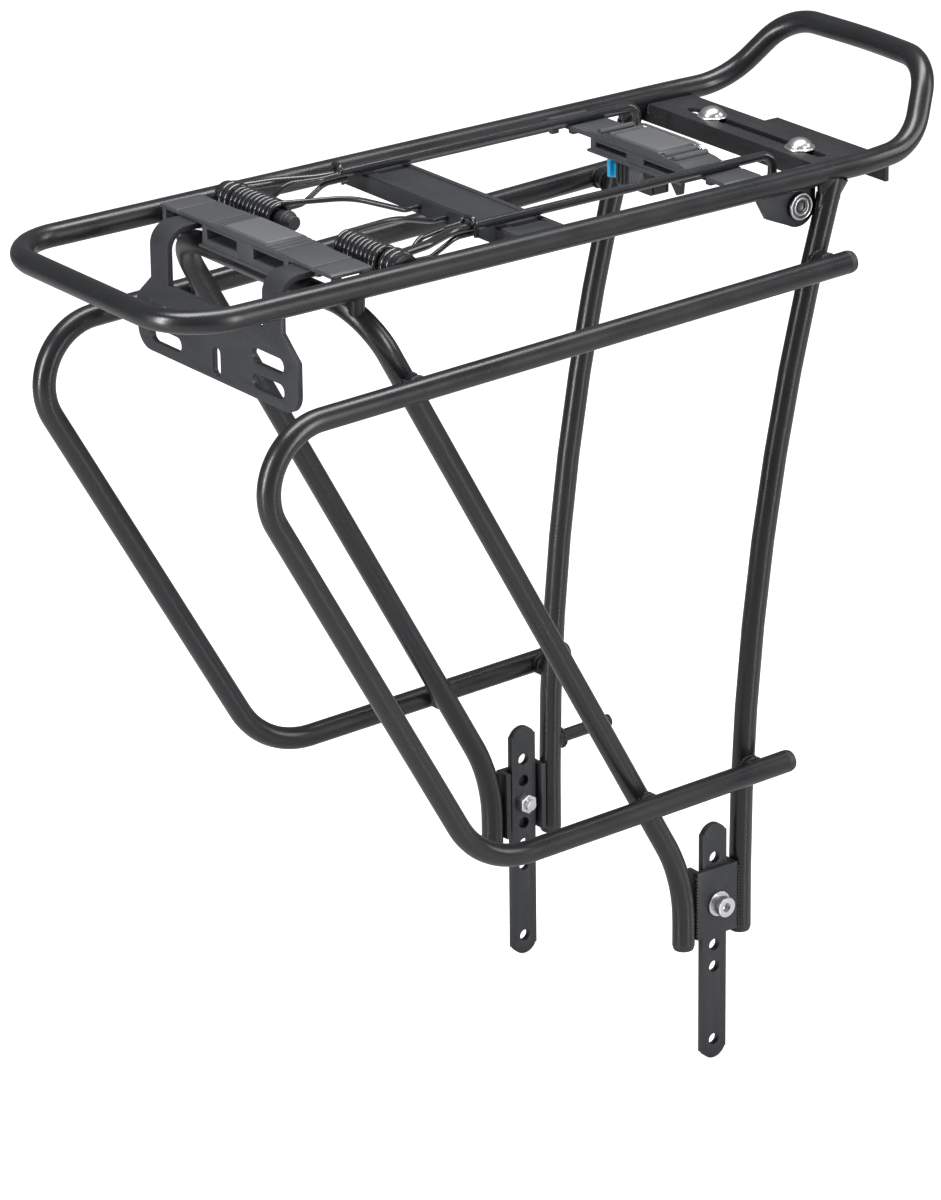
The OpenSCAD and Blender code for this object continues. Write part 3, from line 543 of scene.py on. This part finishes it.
bm = bmesh.new()
for side in sides:
    turned(bm, at(side * domeScrew["x"], domeScrew["y"], domeScrew["z"]), domeOutline(domeScrew))
addPiece("dome_screws_shown", bm, "brightZinc", "light", ["dome_screws"], smoothAngle=50)
print("screws turned")


# Latch and its button. A box is x, x, y, y, z, z and its edges' radius; a Rest is a rib without its x
button = {
    "pad": (-21, -18.5, 281, 291, -13.8, -5.1, 1.0),
    "stem": (-19, -7.05, 283.2, 288.8, -13.8, -7.2, 0.4),
    "ridges": 3, "ridgeX": (-21.25, -20.6), "ridgeY": (282.2, 289.8), "ridgeLow": -11.6, "ridgeStep": 2.2,
    "ridgeHeight": 0.9,
}
bm = bmesh.new()
block(bm, *button["pad"], 4)
for i in range(button["ridges"]):
    z = button["ridgeLow"] + i * button["ridgeStep"]
    block(bm, *button["ridgeX"], *button["ridgeY"], z, z + button["ridgeHeight"], 0.25)
block(bm, *button["stem"])
addPiece("button_face", bm, "bluePlastic", "button", ["release_button"])

latch = {
    "walls": ((-14, 10, 281, 291, -7, -4.5, 0.4), (-14, 10, 281, 291, -15, -14, 0.4),
              (-14, 10, 281, 283, -14.5, -6, 0.4), (-14, 10, 289, 291, -14.5, -6, 0.4),
              (4, 10, 281.5, 290.5, -14.5, -6, 0.4)),
    "ribs": 4, "ribX": (-13.6, -12.2), "ribStep": 2.7, "ribRest": (280.4, 281.6, -14.4, -4.9, 0.35),
    "shoe": (-4.4, 5.4, 280.2, 283.1, -13.2, -4.6, 0.9),
    "shoeRibs": 4, "shoeRibX": (-3.2, -2.1), "shoeRibStep": 2.2,
    "shoeRibRest": (279.9, 280.9, -12, -5.8, 0.3),
    "tooth": ((22, -4.2), (30, -4.2), (29.4, -9.6), (27.2, -10.4)), "toothY": (281, 284),
}
bm = bmesh.new()
for wall in latch["walls"]:
    block(bm, *wall)
for i in range(latch["ribs"]):
    block(bm, *(x + i * latch["ribStep"] for x in latch["ribX"]), *latch["ribRest"])
addPiece("latch_case", bm, "plugPlastic", "frame", ["latch_housing"])
bm = bmesh.new()
block(bm, *latch["shoe"])
for i in range(latch["shoeRibs"]):
    block(bm, *(x + i * latch["shoeRibStep"] for x in latch["shoeRibX"]), *latch["shoeRibRest"])
addPiece("latch_shoe", bm, "topPlastic", "frame")
bm = bmesh.new()
outlineBar(bm, latch["tooth"], *latch["toothY"], 0.4)
addPiece("latch_tooth", bm, "plugPlastic", "frame")
print("latch done")


# Weld beads: overlapping ripples along a path round each joint
def beads(bm, points, size, flat=0.75):
    for p in points:
        bmesh.ops.create_icosphere(bm, subdivisions=2, radius=size / 1000,
                                   matrix=Matrix.Translation(p) @ Matrix.Diagonal((1, 1, flat, 1)))


def ringPoints(centre, axis, radius, count):
    turn = upwards.rotation_difference(Vector(axis)).to_matrix()
    return [centre + turn @ Vector((math.cos(t), math.sin(t), 0)) * (radius / 1000)
            for t in (2 * math.pi * i / count for i in range(count))]


stubs = {  # y, z, and the two x where a stub meets its leg and its loop
    "frontTop": (106.1, -43.5, 73.4, 78.6),
    "frontLow": (227.6, -261.5, 73.9, 75.8),
    "rearTop": (322.3, -36.3, 72.6, 78.4),
    "rearLow": (285.8, -259.9, 72.8, 75.8),
}
stubSeam = {"radius": 4.35, "beads": 26, "size": 0.95}
pegSeam = {"place": (-68.5, 290.4, -295), "radius": 4.3, "beads": 16, "size": 1.1}
legTop = {  # the rear leg's top swells out along the rail
    "x": 68.3, "y": 334, "z": 0, "slope": (0, 49.5, 157),
    "stages": ((-17, -10, 4.8, 5.7, 0.86), (-10, -2.5, 5.7, 8.2, 0.6)),  # from, to, two radii, share in x
}
bm = bmesh.new()
for side in sides:
    for y, z, xLeg, xLoop in stubs.values():
        for x in (xLeg, xLoop):
            points = ringPoints(at(side * x, y, z), (1, 0, 0), stubSeam["radius"], stubSeam["beads"])
            beads(bm, points, stubSeam["size"])
    slope = Vector(legTop["slope"]).normalized()
    lean = upwards.rotation_difference(slope).to_matrix().to_4x4()
    for low, high, r0, r1, squeeze in legTop["stages"]:
        middle = at(side * legTop["x"], legTop["y"], legTop["z"]) + slope * ((low + high) / 2000)
        place = Matrix.Translation(middle) @ lean @ Matrix.Diagonal((squeeze, 1, 1, 1))
        bmesh.ops.create_cone(bm, cap_ends=False, segments=40, radius1=r0 / 1000, radius2=r1 / 1000,
                              depth=(high - low) / 1000, matrix=place)
beads(bm, ringPoints(at(*pegSeam["place"]), (0, 1, 0), pegSeam["radius"], pegSeam["beads"]), pegSeam["size"])
addPiece("tube_welds", bm, "blackCoat", "frame", smoothAngle=60)

plateSeams = (  # the first bead, the step to the next, how many, and their size
    *(((72.6, y, -335), (0, 0, 1.5), 20, 0.9) for y in (256.8, 279.9)),  # brackets on the legs
    *(((62.2, y, 1.2), (0.12, 0, -1.1), 7, 0.85) for y in (171.4, 195.6)),  # middle plate on the rails
    *(((62.3, y, -2), (0, 0, -1.1), 4, 0.85) for y in (337.3, 360.6)),  # rear plate on the rails
    ((62.4, 107, 4.3), (0, 1.2, 0), 9, 0.8),  # pivot lugs on the rails
)
bm = bmesh.new()
for side in sides:
    for (x, y, z), (dx, dy, dz), count, size in plateSeams:
        beads(bm, [at(side * (x + dx * i), y + dy * i, z + dz * i) for i in range(count)], size)
addPiece("plate_welds", bm, "blackCoat", "frame", smoothAngle=60)
print("welds laid")


# Raised rims along the middle plate: x, x, y, y, z, z
plateRims = (
    (-61.6, 61.6, 171.6, 177.4, 1.2, 2.7), (-61.6, 61.6, 193, 195.7, 1.2, 2.7),
    (-61.6, -52, 176.5, 194, 1.2, 2.6), (52, 61.6, 176.5, 194, 1.2, 2.6),
)
bm = bmesh.new()
for rim in plateRims:
    block(bm, *rim, 0.6)
addPiece("centre_plate_rims", bm, "blackSheet", "frame")

# Rings turned into the head of the side screw: radius and wire
sideRings = {"place": (66.1, 318, -13), "rings": ((5.5, 0.5), (3.6, 0.45))}
bm = bmesh.new()
for radius, wire in sideRings["rings"]:
    ring(bm, at(*sideRings["place"]), radius, wire)
addPiece("side_screw_rings", bm, "brightZinc", "frame", smoothAngle=80)
print("rims and rings added")


# Floor and sky: white to the camera, and darker to the object, so that black stays black
floorLook = {"colour": (0.46, 0.46, 0.463, 1), "roughness": 0.3, "glow": 0.9, "size": 14, "drop": 0.0005}
skyTones = {"To Min": 0.2, "To Max": 1.0}  # to the object, and to the camera
white = (1, 1, 1, 1)

floorMaterial = bpy.data.materials.new("paleFloor")
floorMaterial.use_nodes = True
floorTree = floorMaterial.node_tree
floorShader = floorTree.nodes["Principled BSDF"]
floorShader.inputs["Base Color"].default_value = floorLook["colour"]
floorShader.inputs["Roughness"].default_value = floorLook["roughness"]
floorShader.inputs["Emission Color"].default_value = white
floorRay = floorTree.nodes.new("ShaderNodeLightPath")
floorGlow = floorTree.nodes.new("ShaderNodeMath")
floorGlow.operation = "MULTIPLY"
floorGlow.inputs[1].default_value = floorLook["glow"]
link(floorTree, floorRay.outputs["Is Camera Ray"], floorGlow.inputs[0])
link(floorTree, floorGlow.outputs["Value"], floorShader.inputs["Emission Strength"])
bm = bmesh.new()
bmesh.ops.create_grid(bm, x_segments=1, y_segments=1, size=floorLook["size"])
floorMesh = bpy.data.meshes.new("floor")
bm.to_mesh(floorMesh)
bm.free()
floorMesh.materials.append(floorMaterial)
floor = bpy.data.objects.new("floor", floorMesh)
floor.location.z = -floorLook["drop"]
scene.collection.objects.link(floor)

world = bpy.data.worlds.new("studio")
world.use_nodes = True
sky = world.node_tree.nodes["Background"]
skyRay = world.node_tree.nodes.new("ShaderNodeLightPath")
skyTone = addNode(world.node_tree, "ShaderNodeMapRange", skyTones)
sky.inputs["Color"].default_value = white
link(world.node_tree, skyRay.outputs["Is Camera Ray"], skyTone.inputs["Value"])
link(world.node_tree, skyTone.outputs["Result"], sky.inputs["Strength"])
scene.world = world

lamps = {  # place, target, width, height, power
    "overhead": ((0.0, 0.0, 1.9), (0, 0, 0.3), 0.62, 1.8, 46),
    "key": ((0.05, -1.5, 0.62), (0, 0, 0.2), 0.22, 1.15, 24),
    "side": ((1.9, 0.5, 0.7), (0, 0, 0.2), 0.24, 1.2, 24),
    "rim": ((0.9, 1.7, 1.0), (0, 0, 0.25), 0.5, 1.2, 12),
}
for name, (place, target, width, height, power) in lamps.items():
    data = bpy.data.lights.new(name, "AREA")
    data.shape = "RECTANGLE"
    data.size, data.size_y, data.energy = width, height, power
    lamp = bpy.data.objects.new(name, data)
    lamp.location = place
    lamp.rotation_euler = (Vector(target) - Vector(place)).to_track_quat("-Z", "Y").to_euler()
    scene.collection.objects.link(lamp)
print("floor, sky and lamps set")

# Camera: a long lens, a little above the deck, turned towards the front left
cameraView = {"azimuth": 0.9326, "elevation": 0.3784, "roll": -0.0122, "lens": 172.6, "sensor": 36.0,
              "place": (1852.19, -1181.67, 735.24), "shift": (-0.0038, -0.0007)}
az, el, roll = cameraView["azimuth"], cameraView["elevation"], cameraView["roll"]
back = Vector((math.sin(az) * math.cos(el), -math.cos(az) * math.cos(el), math.sin(el)))
right = Vector((math.cos(az), math.sin(az), 0))
up = back.cross(right)
rolledRight = right * math.cos(roll) + up * math.sin(roll)
rolledUp = -right * math.sin(roll) + up * math.cos(roll)
turn = Matrix((rolledRight, rolledUp, back)).transposed().to_4x4()
cameraData = bpy.data.cameras.new("camera")
cameraData.lens = cameraView["lens"]
cameraData.sensor_fit = "AUTO"
cameraData.sensor_width = cameraView["sensor"]
cameraData.shift_x, cameraData.shift_y = cameraView["shift"]
cameraData.clip_end = 60
camera = bpy.data.objects.new("camera", cameraData)
camera.matrix_world = Matrix.Translation(at(*cameraView["place"])) @ turn
scene.collection.objects.link(camera)
scene.camera = camera
scene.view_settings.view_transform = "Standard"

print("scene ready")
